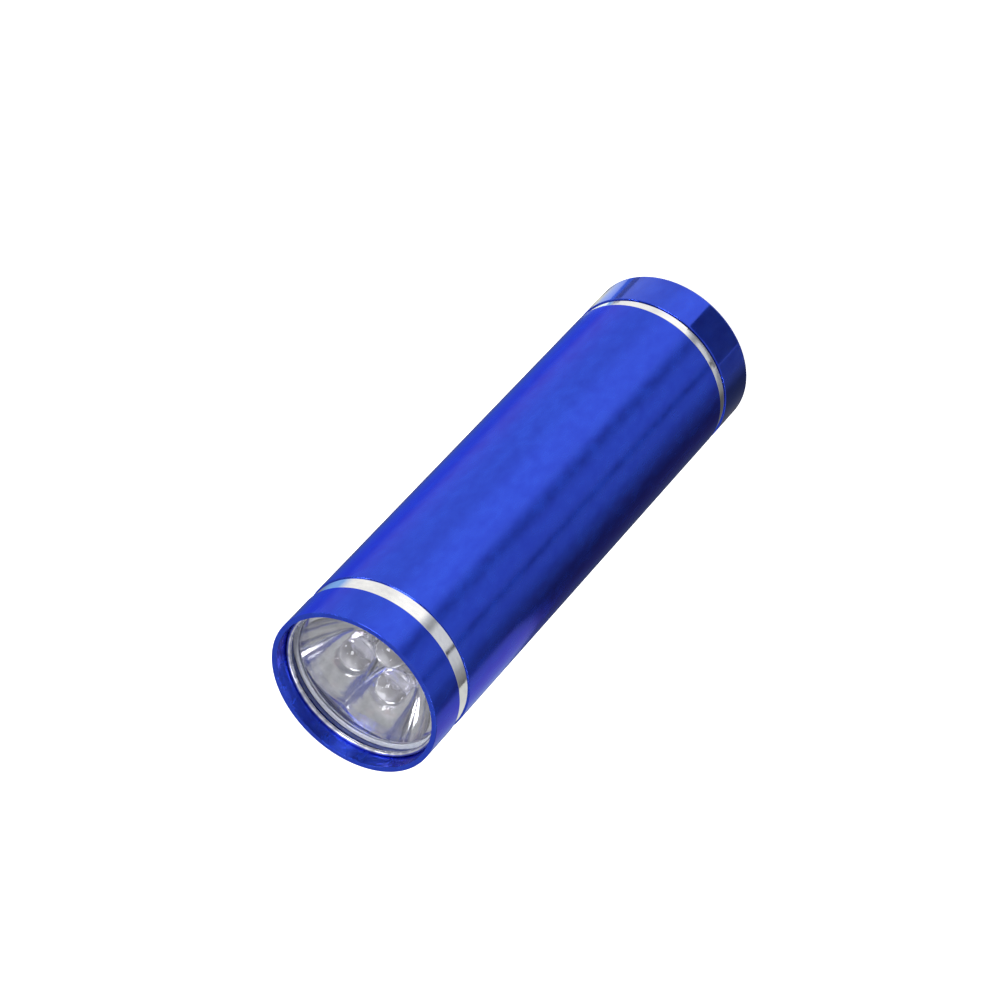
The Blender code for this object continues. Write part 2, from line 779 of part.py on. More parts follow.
def switch_ring(finish):
    """The threaded ring that holds the switch in the cap, with two slots for a spanner."""
    base = COVER_TOP + FIT
    top = COVER_TOP + 1.5 * MM
    section = plain_ring(8.2 * MM, TAIL_BORE_RADIUS - SEAM, base, top)
    ring = turned("switch_retaining_ring", section, finish)
    far = SPANNER_SLOT_LENGTH / 2.0
    side = SPANNER_SLOT_WIDTH / 2.0
    slot_depth = 0.8 * MM
    outline = [(-far, -side), (far, -side), (far, side), (-far, side)]
    slot = flat_outline("spanner_slot", outline, 2.0 * slot_depth, None)
    slot.location = (0.0, 0.0, top)
    return cut(ring, as_mesh(slot))


def return_spring(finish):
    wire_radius = 0.25 * MM
    heights = (MOVING_CONTACT_TOP + FIT + wire_radius, HOUSING_TOP - wire_radius)
    radii = (3.3 * MM, 3.3 * MM)
    turns = 4.0
    return coil("return_spring", heights, radii, turns, wire_radius, finish)


def tail_spring(finish):
    """The spring that presses the cartridge forward and carries its rear terminal to the switch."""
    wire_radius = 0.4 * MM
    base = TERMINAL_TOP + FIT + wire_radius
    top = CAGE_BASE - REAR_HEAD_REACH - FIT - wire_radius
    radii = (4.3 * MM, 3.4 * MM)
    turns = 5.0
    return coil("tail_spring", (base, top), radii, turns, wire_radius, finish)


# The whole lamp


def finishes():
    return {
        "blue": material("blue_anodised_aluminium", (0.010, 0.035, 0.52), 0.28, 0.85),
        "bright": material("bright_cut_aluminium", (0.86, 0.87, 0.89), 0.16, 1.0),
        "clear": material("clear_acrylic", (0.95, 0.97, 1.0), 0.03, 0.0, 0.2),
        "silicone": material("translucent_silicone", (0.78, 0.80, 0.82), 0.45),
        "mirror": material("metallised_plastic", (0.72, 0.73, 0.76), 0.10, 1.0),
        "epoxy": material("clear_epoxy", (0.90, 0.90, 0.96), 0.05, 0.0, 0.35),
        "lead": material("tinned_lead", (0.70, 0.70, 0.70), 0.30, 1.0),
        "board": material("white_board", (0.80, 0.81, 0.78), 0.50),
        "brass": material("brass", (0.70, 0.52, 0.22), 0.30, 1.0),
        "spring_steel": material("plated_spring_steel", (0.62, 0.62, 0.63), 0.28, 1.0),
        "rubber": material("black_rubber", (0.018, 0.018, 0.020), 0.70),
        "black_plastic": material("black_plastic", (0.022, 0.022, 0.024), 0.45),
        "white_plastic": material("white_plastic", (0.80, 0.80, 0.78), 0.40),
        "resistor": material("resistor_lacquer", (0.30, 0.52, 0.58), 0.40),
        "cell": material("cell_jacket", (0.10, 0.30, 0.16), 0.35),
    }


def head(finish):
    neck_base = FRONT_RING_BASE + SEAM
    head_bezel(finish["blue"])
    trim_ring("front_trim_ring", neck_base, HEAD_BASE - FIT, finish["bright"])
    seal_ring("head_o_ring", neck_base - GROOVE_OFFSET - GROOVE_WIDTH, finish["rubber"])
    front_lens(finish["clear"])
    lens_gasket(finish["silicone"])
    reflector(finish["mirror"])
    for index in range(LED_COUNT):
        led_lens(index, finish["epoxy"])
        led_leads(index, finish["lead"])
    led_board(finish["board"])
    board_ring(finish["brass"])
    board_spring(finish["spring_steel"])
    current_resistor(finish["resistor"])


def tail(finish):
    neck_top = REAR_RING_TOP - SEAM
    tail_cap(finish["blue"])
    trim_ring("rear_trim_ring", TAIL_CAP_TOP + FIT, neck_top, finish["bright"])
    seal_ring("tail_o_ring", neck_top + GROOVE_OFFSET, finish["rubber"])
    button_boot(finish["rubber"])
    switch_housing(finish["black_plastic"])
    switch_plunger(finish["white_plastic"])
    moving_contact(finish["brass"])
    return_spring(finish["spring_steel"])
    switch_cover(finish["black_plastic"])
    switch_terminal(finish["brass"])
    switch_ring(finish["brass"])
    tail_spring(finish["spring_steel"])


def smooth(thing):
    """Smooth shading on round pieces, with their corners kept sharp."""
    if thing.type == "MESH":
        thing.data.shade_smooth()
        thing.data.set_sharp_from_angle(angle=math.radians(35.0))


def main():
    clear_scene()
    collection_named(COLLECTION)
    collection_named(CUTTER_COLLECTION)
    finish = finishes()
    barrel_tube(finish["blue"])
    head(finish)
    cartridge(finish)
    tail(finish)
    for thing in bpy.data.collections[COLLECTION].objects:
        smooth(thing)


main()
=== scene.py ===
"""Looks of the curing lamp: turned and anodised shells, bright rings, lens, metallised cups and LEDs.

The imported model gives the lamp's heights. Fine turned shells stand for its faceted ones, and every node gets
a procedural finish. Lengths are in metres, and the lamp stands on its tail cap with +Z towards the lens.
"""

import json
import math

import bmesh
import bpy
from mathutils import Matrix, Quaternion, Vector


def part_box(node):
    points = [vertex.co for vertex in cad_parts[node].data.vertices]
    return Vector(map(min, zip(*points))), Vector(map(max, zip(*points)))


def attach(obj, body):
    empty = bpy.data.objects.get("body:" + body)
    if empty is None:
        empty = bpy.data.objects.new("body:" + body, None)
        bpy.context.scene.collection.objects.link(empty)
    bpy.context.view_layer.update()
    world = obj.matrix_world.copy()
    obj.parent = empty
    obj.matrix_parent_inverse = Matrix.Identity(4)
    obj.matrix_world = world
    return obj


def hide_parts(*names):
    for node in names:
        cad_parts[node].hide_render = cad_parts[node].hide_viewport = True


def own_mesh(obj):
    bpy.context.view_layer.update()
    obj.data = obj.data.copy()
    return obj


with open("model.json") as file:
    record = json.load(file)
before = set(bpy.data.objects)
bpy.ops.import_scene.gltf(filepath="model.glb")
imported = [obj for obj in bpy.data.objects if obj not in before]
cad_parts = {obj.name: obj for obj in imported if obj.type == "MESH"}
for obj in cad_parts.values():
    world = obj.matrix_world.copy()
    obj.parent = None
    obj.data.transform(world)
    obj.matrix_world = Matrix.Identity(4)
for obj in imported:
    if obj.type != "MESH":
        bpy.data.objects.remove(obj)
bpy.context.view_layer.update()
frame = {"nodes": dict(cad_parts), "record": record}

MM = 0.001

# Camera
CAMERA_PLACE = Vector((0.0, -0.4513, 0.4544))
CAMERA_AIM = Vector((0.00357, 0.0, 0.04823))
CAMERA_ROLL = math.radians(-136.90)
CAMERA_LENS = 144.15
CAMERA_SENSOR = 36.0
CAMERA_NEAR = 0.01

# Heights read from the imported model
TUBE_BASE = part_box("barrel_tube")[0].z
TUBE_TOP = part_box("barrel_tube")[1].z
HEAD_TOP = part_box("head_bezel")[1].z
FRONT_RING = (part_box("front_trim_ring")[0].z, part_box("front_trim_ring")[1].z)
REAR_RING = (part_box("rear_trim_ring")[0].z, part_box("rear_trim_ring")[1].z)
LENS_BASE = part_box("front_lens")[0].z
LENS_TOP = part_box("front_lens")[1].z
GASKET = (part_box("lens_gasket")[0].z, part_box("lens_gasket")[1].z)
REFLECTOR_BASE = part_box("reflector")[0].z
REFLECTOR_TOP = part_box("reflector")[1].z
LED_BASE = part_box("led_1_lens")[0].z
LED_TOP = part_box("led_1_lens")[1].z
DIE_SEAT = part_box("led_1_cathode")[1].z
SPIGOT_END_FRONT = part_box("head_bezel")[0].z
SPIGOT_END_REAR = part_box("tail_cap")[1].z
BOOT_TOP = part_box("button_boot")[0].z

# Radii and depths that the turned pieces share
BODY_RADIUS = 14.0 * MM
RING_RADIUS = 13.8 * MM
OPENING_RADIUS = 13.16 * MM
NECK_RADIUS = 13.25 * MM
SPIGOT_RADIUS = 12.45 * MM
GROOVE_RADIUS = 11.85 * MM
SOCKET_RADIUS = 12.95 * MM
SOCKET_DEPTH = 7.6 * MM
BORE_RADIUS = 12.0 * MM
STACK_RADIUS = 13.0 * MM
LEDGE_INNER_RADIUS = 12.75 * MM
LEDGE_DEPTH = 0.5 * MM
MODULE_BORE_RADIUS = 11.2 * MM
MODULE_RADIUS = 11.0 * MM
SEAL_RADIUS = 12.4 * MM
SEAL_THICKNESS = 0.9 * MM
GROOVE_OFFSET = 1.4 * MM
GROOVE_WIDTH = 1.2 * MM
GASKET_INNER_RADIUS = 12.3 * MM

# Gaps between a bright ring and its neighbours, and between the front ring's lower edge and the tube
RING_GAP = 0.1 * MM
PARTING = 0.02 * MM

# Fillets on the turned pieces' edges, from the sharpest to the roundest
FRONT_RING_EDGE = 0.02 * MM
DIE_CUP_EDGE = 0.04 * MM
NECK_EDGE = 0.05 * MM
GASKET_EDGE = 0.06 * MM
SHELL_EDGE = 0.08 * MM
PLAIN_EDGE = 0.10 * MM
LIP_EDGE = 0.12 * MM
LENS_FRONT_EDGE = 0.15 * MM
SPIGOT_EDGE = 0.25 * MM
BUTTON_HOLE_EDGE = 0.35 * MM
TAIL_EDGE = 0.45 * MM

# Reflector cups and LEDs
LED_COUNT = 3
LED_PITCH_RADIUS = 4.06 * MM
LED_FIRST_ANGLE = math.radians(30.0)
LED_RADIUS = 2.5 * MM
LED_FLANGE_RADIUS = 2.9 * MM
LED_FLANGE_HEIGHT = 1.0 * MM
CUP_RADIUS = 8.1 * MM
CUP_FOCAL_LENGTH = 2.05 * MM
CUP_HOLE_RADIUS = 2.65 * MM
CUP_RIM_OVERRUN = 0.4 * MM
CUP_BASE_OVERRUN = 0.5 * MM
CUP_WALL_POINTS = 40
REFLECTOR_FLANGE = 0.4 * MM
REFLECTOR_CLEARANCE = 0.2 * MM
REFLECTOR_SHOULDER = TUBE_TOP - 0.15 * MM
RIDGE_WIDTH = 0.34 * MM
RIDGE_SEGMENTS = 3
RIDGE_ANGLE = math.radians(25.0)

# Dish that holds an LED's die
DIE_CUP_GAP = 0.02 * MM
DIE_CUP_HEIGHT = 0.42 * MM
DIE_CUP_FLOOR = 0.12 * MM
DIE_CUP_FLOOR_RADIUS = 0.34 * MM
DIE_CUP_RIM_RADIUS = 0.62 * MM
DIE_CUP_RADIUS = 0.76 * MM

# Lens: a face whose normal rises less than this is part of its side
LENS_SIDE = 0.2

# Snap bead over the lens
BEAD_RADIUS = 0.36 * MM
BEAD_LIFT = 0.82 * MM
BEAD_CLEARANCE = 0.04 * MM

# Thread on the spigots and in the sockets. In depths, its flanks would meet at THREAD_CREST, and they fall by
# THREAD_SLOPE over a pitch. The ridge is cut flat at one depth.
THREAD_PITCH = 1.0 * MM
THREAD_DEPTH = 0.32 * MM
THREAD_CREST = 1.6
THREAD_SLOPE = 5.2
THREAD_ROWS = 10
THREAD_END_GAP = 0.3 * MM
SPIGOT_THREAD_START = 0.6 * MM
SOCKET_THREAD_START = 2.6 * MM

# Tail cap's hole and the boot in it
BUTTON_HOLE_RADIUS = 6.3 * MM
TAIL_BORE_RADIUS = 10.4 * MM
BOOT_SEAT_RADIUS = 7.9 * MM
BOOT_SEAT_GAP = 0.15 * MM
BOOT_WALL_RADIUS = 5.95 * MM
BOOT_INNER_RADIUS = 4.9 * MM
BOOT_FLANGE_RADIUS = 7.7 * MM
BOOT_FLANGE = (2.45 * MM, 3.25 * MM)
BOOT_SHOULDER = 1.5 * MM

# The switch's return spring
SPRING_TURNS = 4
SPRING_RADIUS = 3.3 * MM
SPRING_WIRE_RADIUS = 0.24 * MM

# The world's light. PANELS are (azimuth in degrees from +X, level, tint) round the horizon
SKY_LEVEL = 0.62
FLOOR_GLOW = 0.90
PLAIN = (1.0, 1.0, 1.0)
WARM = (1.06, 1.04, 1.0)
COOL = (0.93, 0.95, 1.0)
BLUISH = (0.26, 0.50, 1.0)
PANELS = (
    (-180.0, 0.26, PLAIN),
    (-172.0, 0.34, COOL),
    (-162.0, 0.56, COOL),
    (-150.0, 0.66, COOL),
    (-146.0, 0.64, COOL),
    (-143.5, 0.12, COOL),
    (-140.5, 0.12, COOL),
    (-138.0, 0.68, COOL),
    (-132.0, 0.72, COOL),
    (-112.0, 0.72, COOL),
    (-105.0, 0.36, COOL),
    (-101.0, 0.38, COOL),
    (-94.0, 0.72, COOL),
    (-88.0, 1.10, WARM),
    (-56.0, 1.10, WARM),
    (-38.0, 0.90, WARM),
    (-20.0, 0.94, WARM),
    (4.0, 0.96, WARM),
    (18.0, 0.92, PLAIN),
    (32.0, 0.90, BLUISH),
    (46.0, 0.84, BLUISH),
    (60.0, 0.62, BLUISH),
    (72.0, 0.22, PLAIN),
    (90.0, 0.12, PLAIN),
    (108.0, 0.14, PLAIN),
    (124.0, 0.14, PLAIN),
    (145.0, 0.10, PLAIN),
    (165.0, 0.10, PLAIN),
    (179.9, 0.26, PLAIN),
)
HORIZON_BLEND = (-0.30, 0.25)

# Soft lights: name, place, size, power in watts and colour
LIGHTS = (
    ("key", (0.25, -0.30, 0.55), (0.22, 0.22), 1.6, PLAIN),
    ("left_spark", (0.30, 0.05, 0.42), (0.05, 0.05), 0.18, PLAIN),
    ("right_spark", (-0.26, 0.10, 0.50), (0.05, 0.05), 0.18, PLAIN),
    ("head_fill", (-0.047, 0.031, 0.042), (0.065, 0.034), 0.0042, (0.97, 1.0, 0.94)),
    ("tail_glint", (0.0239, 0.0118, -0.0144), (0.015, 0.0062), 0.00027, (1.0, 0.90, 0.36)),
)

# Dark cards beside the tail cap: name, azimuths in degrees, lowest and highest point, brightness
FLAG_REACH = 20.0 * MM
FLAG_STEPS = 12
FLAGS = (
    ("tail_flag", (-130.0, -88.0), (-9.0 * MM, 1.4 * MM), 0.20),
    ("tail_shade", (-148.0, -131.0), (-9.0 * MM, 1.0 * MM), 0.29),
    ("tail_tick", (-16.0, -8.0), (-9.0 * MM, -0.6 * MM), 0.40),
)
FLOOR_HEIGHT = -8.0 * MM
FLOOR_HALF = 2.0

# Sheet and wire metals: name, dark and light colours, size of the tarnish and roughness
METALS = (
    ("tinned_lead", (0.52, 0.52, 0.54), (0.74, 0.74, 0.76), 0.5 * MM, 0.28),
    ("brass", (0.48, 0.32, 0.10), (0.74, 0.54, 0.24), 1.2 * MM, 0.26),
    ("spring_steel", (0.42, 0.42, 0.43), (0.66, 0.66, 0.68), 0.7 * MM, 0.26),
)

# Plastics, rubber and board: name, dark and light colours, size of the grain, roughness and relief
MOULDINGS = (
    ("board", (0.70, 0.72, 0.68), (0.82, 0.83, 0.80), 0.25 * MM, 0.48, 0.006 * MM),
    ("black_rubber", (0.012, 0.012, 0.013), (0.026, 0.026, 0.028), 0.18 * MM, 0.62, 0.012 * MM),
    ("black_plastic", (0.014, 0.014, 0.016), (0.028, 0.028, 0.030), 0.25 * MM, 0.42, 0.008 * MM),
    ("white_plastic", (0.70, 0.70, 0.67), (0.84, 0.84, 0.82), 0.30 * MM, 0.38, 0.005 * MM),
)

# The resistor's body and bands: where each band starts along the body, as a share of it, and its colour
RESISTOR_HALF = 2.6 * MM
RESISTOR_BODY = (0.30, 0.52, 0.58)
RESISTOR_END = 0.97
BAND_WIDTH = 0.08
BANDS = (
    (0.12, (0.45, 0.06, 0.03)),
    (0.33, (0.02, 0.02, 0.02)),
    (0.55, (0.30, 0.12, 0.05)),
    (0.80, (0.6, 0.42, 0.1)),
)

# Divisions of round shapes
ROUND_STEPS = 192
CUP_STEPS = 128
BOOT_STEPS = 96
DOME_STEPS = 64
DOME_ARC_STEPS = 24
DIE_CUP_STEPS = 48
SPRING_STEPS = 48
SEAL_STEPS = 24
BEAD_STEPS = 20
WIRE_STEPS = 12
FILLET_STEPS = 4

# Shading: distance of a supporting row from a corner, and the angle from which an edge is sharp
SUPPORT = 0.12 * MM
SHARP_ANGLE = math.radians(38.0)

# Lengths closer than this count as equal
TOUCH = 1e-7


# Turned shapes


def turn_corner(before, corner, after, reach):
    """The points of a fillet of radius reach at a corner, each marked with full wear."""
    into = (Vector(before) - Vector(corner)).normalized()
    out = (Vector(after) - Vector(corner)).normalized()
    half = into.angle(out) / 2.0
    centre = Vector(corner) + (into + out).normalized() * (reach / math.sin(half))
    start = Vector(corner) + into * (reach / math.tan(half)) - centre
    end = Vector(corner) + out * (reach / math.tan(half)) - centre
    points = []
    for i in range(FILLET_STEPS + 1):
        share = i / FILLET_STEPS
        spoke = (start * (1.0 - share) + end * share).normalized() * reach
        points.append((centre.x + spoke.x, centre.y + spoke.y, 1.0))
    return points


def section(corners, closed=True, threads=()):
    """Rows of (radius, height, wear) from corners of (radius, height, fillet)."""
    rows = []
    for i, (radius, height, fillet) in enumerate(corners):
        if fillet:
            before = corners[i - 1][:2]
            after = corners[(i + 1) % len(corners)][:2]
            rows += turn_corner(before, (radius, height), after, fillet)
        else:
            rows.append((radius, height, 0.0))
    made = []
    for i, row in enumerate(rows):
        made.append(row)
        if closed or i < len(rows) - 1:
            made += filled_in(Vector(row[:2]), Vector(rows[(i + 1) % len(rows)][:2]), threads)
    return made


def filled_in(start, end, threads):
    """Rows along a straight: just inside each end for flat shading, and close together on a thread."""
    length = (end - start).length
    if length < 4.0 * SUPPORT:
        return []
    step = (end - start) / length * SUPPORT
    points = [start + step]
    low, high = sorted((start.y, end.y))
    for radius, thread_low, thread_high in threads:
        on_straight = abs(start.x - radius) < TOUCH and abs(end.x - radius) < TOUCH
        if on_straight and low < thread_low and thread_high < high:
            count = int((thread_high - thread_low) / THREAD_PITCH * THREAD_ROWS)
            heights = [thread_low + (thread_high - thread_low) * i / count for i in range(count + 1)]
            if end.y < start.y:
                heights.reverse()
            points += [Vector((radius, height)) for height in heights]
    points.append(end - step)
    return [(point.x, point.y, 0.0) for point in points]


def thread_height(angle, radius, height, threads):
    """How far a right-hand thread stands out at a place. It fades out at both ends of its stretch."""
    for thread_radius, low, high in threads:
        if abs(radius - thread_radius) < TOUCH and low < height < high:
            phase = (height / THREAD_PITCH - angle / (2.0 * math.pi)) % 1.0
            flank = min(1.0, max(0.0, THREAD_CREST - abs(phase - 0.5) * THREAD_SLOPE))
            fade = min(1.0, (height - low) / THREAD_PITCH, (high - height) / THREAD_PITCH)
            return THREAD_DEPTH * flank * fade
    return 0.0


def revolve(name, rows, finish, closed=True, steps=ROUND_STEPS, threads=(), place=(0.0, 0.0)):
    """Turns rows of (radius, height, wear) about a vertical axis."""
    work = bmesh.new()
    wear = work.verts.layers.float.new("wear")
    rings = []
    for radius, height, worn in rows:
        ring = []
        for i in range(steps if radius > TOUCH else 1):
            angle = 2.0 * math.pi * i / steps
            reach = radius + thread_height(angle, radius, height, threads)
            x = place[0] + reach * math.cos(angle)
            y = place[1] + reach * math.sin(angle)
            vertex = work.verts.new((x, y, height))
            vertex[wear] = worn
            ring.append(vertex)
        rings.append(ring)
    pairs = len(rings) if closed else len(rings) - 1
    for i in range(pairs):
        join_rings(work, rings[i], rings[(i + 1) % len(rings)])
    bmesh.ops.recalc_face_normals(work, faces=work.faces)
    return finished_mesh(name, work, finish)


def join_rings(work, first, second):
    """Faces between two rings of vertices. A ring of one vertex is a pole."""
    count = max(len(first), len(second))
    for i in range(count):
        j = (i + 1) % count
        corners = [
            first[i % len(first)],
            first[j % len(first)],
            second[j % len(second)],
            second[i % len(second)],
        ]
        unique = list(dict.fromkeys(corners))
        if len(unique) > 2:
            work.faces.new(unique)


def hoop(radius, height, reach, steps):
    """Rows of a ring of round section: where the section's middle is, and its own radius, reach."""
    rows = []
    for i in range(steps):
        angle = -2.0 * math.pi * i / steps
        rows.append((radius + reach * math.cos(angle), height + reach * math.sin(angle), 0.0))
    return rows


def finished_mesh(name, work, finish):
    """Makes the object from the faces built so far."""
    mesh = bpy.data.meshes.new(name)
    work.to_mesh(mesh)
    work.free()
    mesh.shade_smooth()
    mesh.set_sharp_from_angle(angle=SHARP_ANGLE)
    mesh.materials.append(finish)
    thing = bpy.data.objects.new(name, mesh)
    bpy.context.scene.collection.objects.link(thing)
    return thing


def stand_for(piece, body, slot, *nodes):
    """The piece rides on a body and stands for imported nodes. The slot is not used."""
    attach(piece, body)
    if nodes:
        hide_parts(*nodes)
    return piece


# Finishes


def node(tree, kind, settings=None, inputs=None):
    """Adds a node. Inputs are values or other nodes' sockets."""
    made = tree.nodes.new(kind)
    for key, value in (settings or {}).items():
        setattr(made, key, value)
    for key, value in (inputs or {}).items():
        if isinstance(value, bpy.types.NodeSocket):
            tree.links.new(value, made.inputs[key])
        else:
            made.inputs[key].default_value = value
    return made


def new_finish(name, color, roughness, metallic=0.0, constants=None):
    """A material with the given values, which surface() can replace with fields."""
    made = bpy.data.materials.new(name)
    made.use_nodes = True
    shader = made.node_tree.nodes["Principled BSDF"]
    shader.inputs["Base Color"].default_value = (*color, 1.0)
    shader.inputs["Roughness"].default_value = roughness
    shader.inputs["Metallic"].default_value = metallic
    for key, value in (constants or {}).items():
        shader.inputs[key].default_value = value
    return made


def grain(tree, size, stretch=(1.0, 1.0, 1.0), detail=3.0, seed=0.0):
    """A noise field from 0 to 1 whose spots are about size metres across, stretched along each axis."""
    place = node(tree, "ShaderNodeTexCoord").outputs["Object"]
    scale = tuple(1.0 / (size * share) for share in stretch)
    shift = (seed, seed, seed)
    mapped = node(tree, "ShaderNodeMapping", inputs={"Vector": place, "Scale": scale, "Location": shift})
    inputs = {"Vector": mapped.outputs["Vector"], "Scale": 1.0, "Detail": detail}
    return node(tree, "ShaderNodeTexNoise", inputs=inputs).outputs["Fac"]


def rescaled(tree, field, low, high, start=0.3, end=0.7):
    """The field's stretch from start to end, spread from low to high and clamped there."""
    inputs = {"Value": field, "From Min": start, "From Max": end, "To Min": low, "To Max": high}
    return node(tree, "ShaderNodeMapRange", {"clamp": True}, inputs).outputs["Result"]


def blended(tree, factor, first, second):
    """A colour between two others, each a tuple or a socket."""
    mix = node(tree, "ShaderNodeMix", {"data_type": "RGBA"})
    sockets = [s for s in mix.inputs if s.type == "RGBA"]
    for socket, value in zip(sockets, (first, second)):
        if isinstance(value, bpy.types.NodeSocket):
            tree.links.new(value, socket)
        else:
            socket.default_value = (*value, 1.0)
    tree.links.new(factor, mix.inputs["Factor"])
    return next(s for s in mix.outputs if s.type == "RGBA")


def two_tone(tree, field, dark, light):
    """A colour that follows a field from dark to light."""
    return blended(tree, rescaled(tree, field, 0.0, 1.0), dark, light)


def product(tree, first, second):
    """Two fields or values multiplied."""
    return node(tree, "ShaderNodeMath", {"operation": "MULTIPLY"}, {0: first, 1: second}).outputs["Value"]


def relief(tree, field, distance, below=None):
    """A bump of a depth in metres, added to the one below."""
    inputs = {"Height": field, "Distance": distance, "Strength": 1.0}
    if below is not None:
        inputs["Normal"] = below
    return node(tree, "ShaderNodeBump", inputs=inputs).outputs["Normal"]


def surface(finish, color, roughness, normal):
    """Connects fields to the finish's shader."""
    tree = finish.node_tree
    shader = tree.nodes["Principled BSDF"]
    for key, socket in (("Base Color", color), ("Roughness", roughness), ("Normal", normal)):
        tree.links.new(socket, shader.inputs[key])
    return finish


def worn_edges(tree, size):
    """A field that is high on patches of the filleted edges."""
    worn = node(tree, "ShaderNodeAttribute", {"attribute_name": "wear"}).outputs["Fac"]
    patches = rescaled(tree, grain(tree, size, detail=5.0), 0.0, 1.0, start=0.42, end=0.66)
    return product(tree, worn, patches)


def blue_anodised(name, roughness, edge_tint, coat_roughness):
    """Blue anodising over turned aluminium, with slightly paler worn edges."""
    constants = {
        "Specular Tint": (*edge_tint, 1.0),
        "Coat Weight": 0.50,
        "Coat Roughness": coat_roughness,
        "Coat IOR": 1.5,
    }
    made = new_finish(name, (0.016, 0.060, 0.68), roughness[0], metallic=1.0, constants=constants)
    tree = made.node_tree
    mottle = grain(tree, 1.7 * MM, stretch=(1.0, 1.0, 1.9), detail=5.0)
    cloud = grain(tree, 9.0 * MM, stretch=(1.0, 1.0, 2.2), detail=2.0, seed=3.0)
    speck = grain(tree, 0.22 * MM, detail=2.0, seed=7.0)
    deep = two_tone(tree, mottle, (0.009, 0.046, 0.60), (0.018, 0.074, 0.72))
    dyed = blended(tree, rescaled(tree, cloud, 0.0, 0.35), deep, (0.010, 0.040, 0.54))
    worn = product(tree, worn_edges(tree, 2.4 * MM), 0.10)
    color = blended(tree, worn, dyed, (0.16, 0.24, 0.78))
    satin = rescaled(tree, mottle, *roughness)
    turning = grain(tree, 0.10 * MM, stretch=(60.0, 60.0, 1.0), detail=2.0, seed=1.0)
    ripple = grain(tree, 3.2 * MM, stretch=(1.0, 1.0, 1.6), detail=2.0, seed=5.0)
    normal = relief(tree, turning, 0.0006 * MM)
    normal = relief(tree, speck, 0.0010 * MM, below=normal)
    normal = relief(tree, ripple, 0.002 * MM, below=normal)
    return surface(made, color, satin, normal)


def bright_aluminium():
    """Diamond-cut bare aluminium with fine turning lines."""
    made = new_finish("bright_aluminium", (0.90, 0.91, 0.93), 0.14, metallic=1.0)
    tree = made.node_tree
    mottle = grain(tree, 1.4 * MM, stretch=(1.0, 1.0, 0.6), detail=4.0)
    color = two_tone(tree, mottle, (0.78, 0.79, 0.82), (0.90, 0.91, 0.92))
    turning = grain(tree, 0.07 * MM, stretch=(80.0, 80.0, 1.0), detail=2.0, seed=2.0)
    normal = relief(tree, turning, 0.0008 * MM)
    normal = relief(tree, mottle, 0.004 * MM, below=normal)
    return surface(made, color, rescaled(tree, mottle, 0.06, 0.14), normal)


def clear_lens():
    """Moulded acrylic with faint scratches and dust."""
    constants = {"Transmission Weight": 1.0, "IOR": 1.49}
    made = new_finish("clear_lens", (0.985, 0.99, 1.0), 0.02, constants=constants)
    tree = made.node_tree
    scratch = grain(tree, 0.18 * MM, stretch=(14.0, 1.0, 1.0), detail=2.0)
    haze = rescaled(tree, scratch, 0.0, 0.06, start=0.60, end=0.72)
    cloud = grain(tree, 4.0 * MM)
    color = two_tone(tree, cloud, (0.96, 0.97, 1.0), (0.99, 0.99, 1.0))
    swell = grain(tree, 3.5 * MM, seed=4.0)
    return surface(made, color, haze, relief(tree, swell, 0.0015 * MM))


def lens_bead():
    """A silvery plated bead with duller patches."""
    made = new_finish("lens_bead", (0.72, 0.74, 0.80), 0.20, metallic=0.85)
    tree = made.node_tree
    mottle = grain(tree, 1.1 * MM, detail=4.0)
    color = two_tone(tree, mottle, (0.36, 0.38, 0.48), (0.80, 0.81, 0.87))
    return surface(made, color, rescaled(tree, mottle, 0.14, 0.26), relief(tree, mottle, 0.003 * MM))


def lens_side_painted_reflection():
    """The lens's side: dark blue, a painted reflection of the anodised wall round it."""
    made = new_finish("lens_side_painted_reflection", (0.03, 0.05, 0.22), 0.38, metallic=0.3)
    tree = made.node_tree
    cloud = grain(tree, 1.3 * MM, detail=4.0)
    color = two_tone(tree, cloud, (0.02, 0.035, 0.18), (0.06, 0.09, 0.30))
    return surface(made, color, rescaled(tree, cloud, 0.28, 0.48), relief(tree, cloud, 0.004 * MM))


def metallised():
    """Vacuum-metallised plastic with a faint orange peel and rosy thin patches."""
    made = new_finish("metallised", (0.64, 0.64, 0.66), 0.07, metallic=0.94)
    tree = made.node_tree
    peel = grain(tree, 0.8 * MM)
    cloud = grain(tree, 2.4 * MM, detail=4.0, seed=2.0)
    tint = two_tone(tree, cloud, (0.50, 0.51, 0.53), (0.74, 0.74, 0.75))
    thin = rescaled(tree, grain(tree, 1.7 * MM, seed=9.0), 0.0, 0.5, start=0.55, end=0.75)
    color = blended(tree, thin, tint, (0.62, 0.47, 0.50))
    return surface(made, color, rescaled(tree, cloud, 0.03, 0.11), relief(tree, peel, 0.010 * MM))


def epoxy():
    """Clear cast epoxy, very slightly violet."""
    constants = {"Transmission Weight": 0.92, "IOR": 1.53}
    made = new_finish("epoxy", (0.86, 0.85, 0.92), 0.02, constants=constants)
    tree = made.node_tree
    cloud = grain(tree, 1.2 * MM)
    color = two_tone(tree, cloud, (0.90, 0.89, 0.97), (0.97, 0.96, 1.0))
    return surface(made, color, rescaled(tree, cloud, 0.0, 0.05), relief(tree, cloud, 0.001 * MM))


def silicone():
    """Pale grey silicone with a fine grain."""
    made = new_finish("silicone", (0.54, 0.56, 0.60), 0.42)
    tree = made.node_tree
    speck = grain(tree, 0.3 * MM)
    color = two_tone(tree, speck, (0.46, 0.48, 0.52), (0.60, 0.62, 0.66))
    return surface(made, color, rescaled(tree, speck, 0.34, 0.52), relief(tree, speck, 0.006 * MM))


